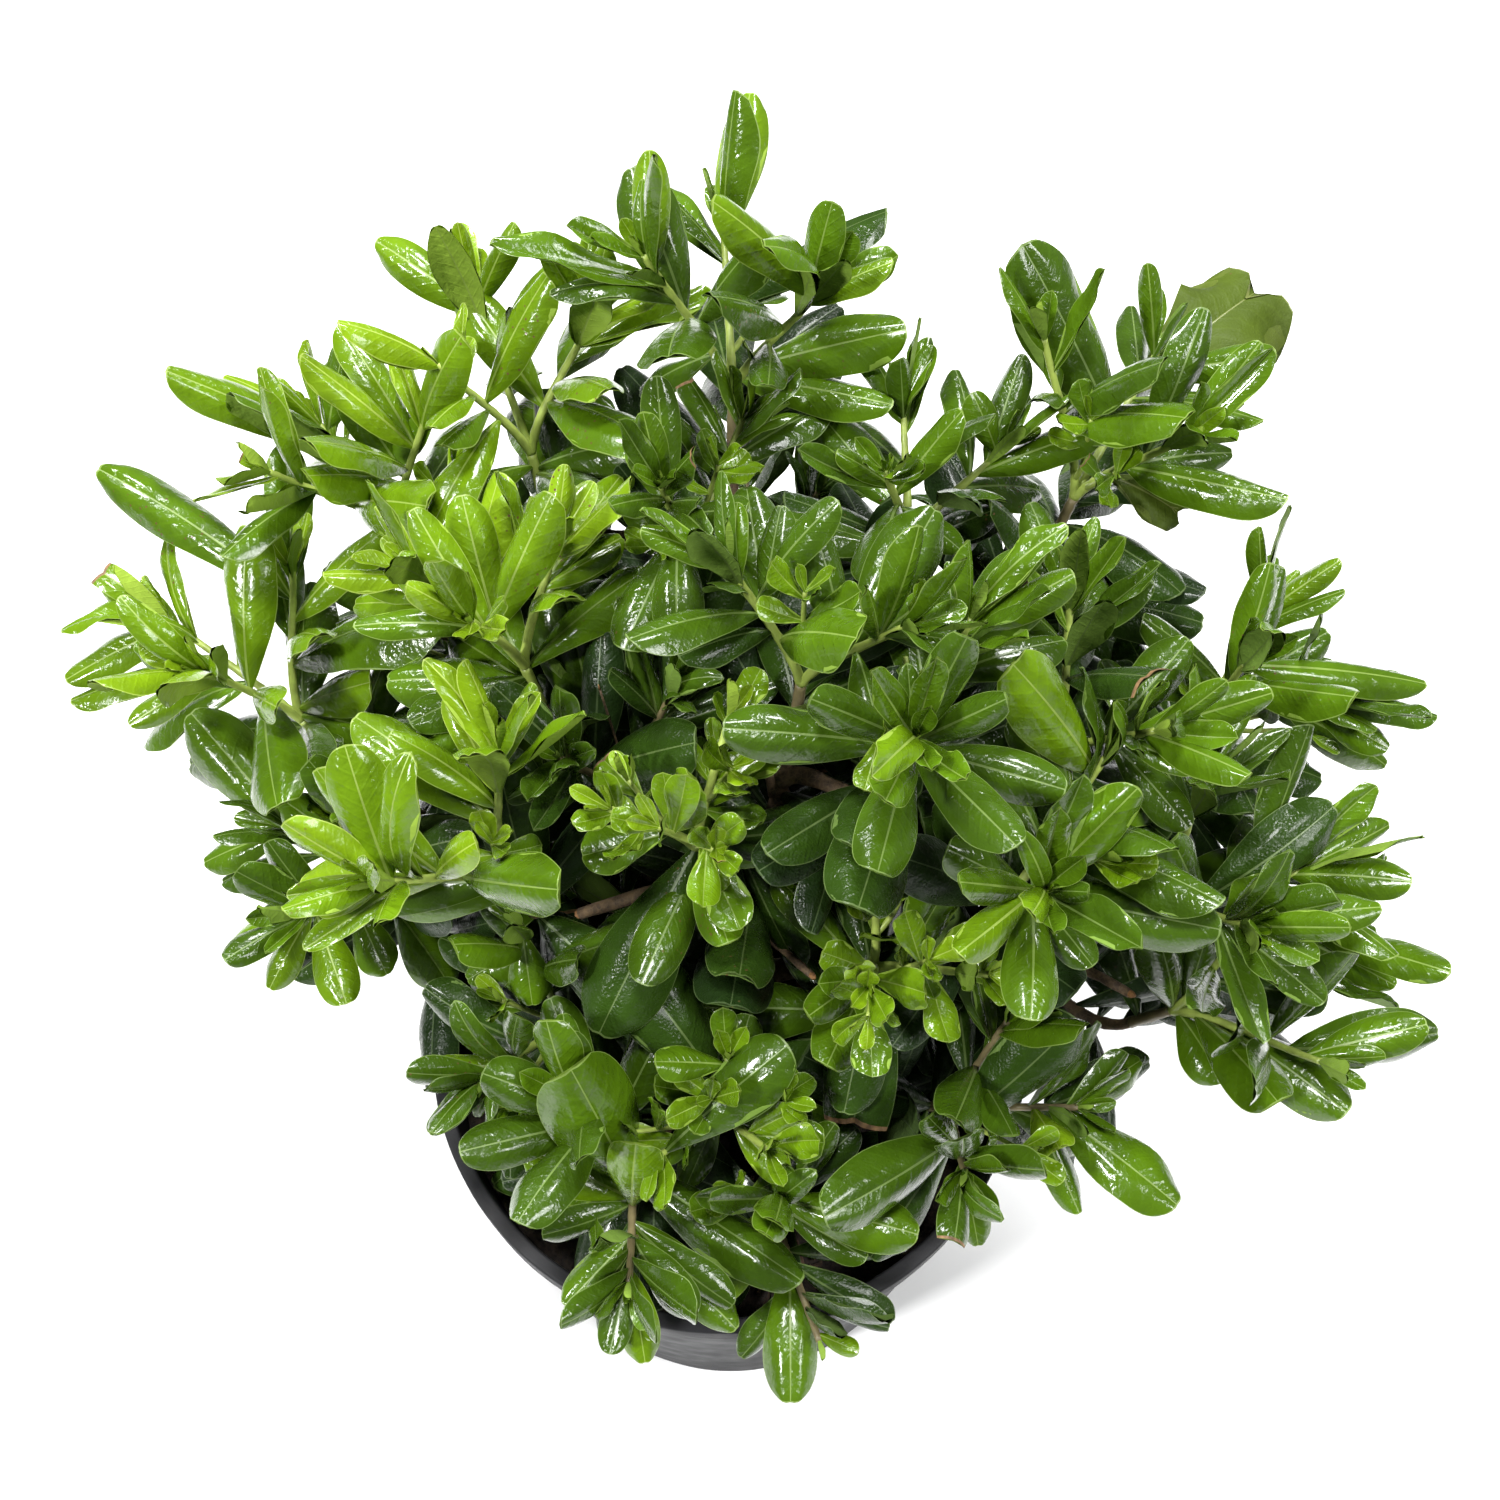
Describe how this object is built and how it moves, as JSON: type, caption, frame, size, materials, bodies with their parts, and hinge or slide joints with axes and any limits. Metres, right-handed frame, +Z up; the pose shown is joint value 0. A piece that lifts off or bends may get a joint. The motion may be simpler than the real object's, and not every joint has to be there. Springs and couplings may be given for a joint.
{
  "type": "potted dwarf pittosporum shrub",
  "caption": "Compact broad-leaved evergreen shrub with glossy leaves in rosettes, growing in a round tapered nursery pot.",
  "frame": {"origin": "middle of the pot's flat underside", "axes": "+Z up; -Y is the side that the picture is taken from, +X is its right"},
  "size_m": [0.5918, 0.4799, 0.5618],
  "materials": {
    "pot": "moulded charcoal-black plastic with a soft sheen, scuffed on the rim",
    "potting_mix": "damp dark brown bark and peat mix",
    "bark": "grey-brown bark with fine furrows and leaf scars",
    "young_leaves": "glossy light yellow-green leaves with pale midribs",
    "leaves": "glossy mid-green leathery leaves with pale midribs",
    "old_leaves": "dark green leathery leaves with a fine net of veins"
  },
  "bodies": {
    "root": {"pot": "pot", "soil": "potting_mix", "trunk": "bark", "bough_centre_high": "bark", "bough_back_top": "bark", "bough_front_left": "bark", "bough_right": "bark", "bough_left_far": "bark", "bough_front_right": "bark", "bough_far_right_high": "bark", "bough_far_left_high": "bark", "bough_back_left": "bark", "bough_back_right": "bark", "bough_back_low": "bark", "bough_right_high": "bark", "bough_back_right_low": "bark", "bough_right_mid": "bark", "bough_right_near": "bark", "bough_right_low": "bark", "bough_centre_right": "bark", "bough_front": "bark", "bough_front_centre": "bark", "bough_left_front": "bark", "bough_left": "bark", "bough_left_near": "bark", "bough_centre_left": "bark", "bough_back_left_low": "bark", "bough_centre_back": "bark", "bough_centre": "bark", "bough_centre_deep": "bark", "bough_centre_high_right": "bark", "foliage_centre_high": "leaves", "foliage_back_top": "leaves", "foliage_front_left": "leaves", "foliage_right": "leaves", "foliage_left_far": "young_leaves", "foliage_front_right": "leaves", "foliage_far_right_high": "leaves", "foliage_far_left_high": "young_leaves", "foliage_back_left": "young_leaves", "foliage_back_right": "leaves", "foliage_back_low": "old_leaves", "foliage_right_high": "leaves", "foliage_back_right_low": "old_leaves", "foliage_right_mid": "leaves", "foliage_right_near": "leaves", "foliage_right_low": "leaves", "foliage_centre_right": "young_leaves", "foliage_front": "leaves", "foliage_front_centre": "young_leaves", "foliage_left_front": "leaves", "foliage_left": "leaves", "foliage_left_near": "young_leaves", "foliage_centre_left": "young_leaves", "foliage_back_left_low": "old_leaves", "foliage_centre_back": "leaves", "foliage_centre": "young_leaves", "foliage_centre_deep": "old_leaves", "foliage_centre_high_right": "leaves"}
  },
  "joints": []
}
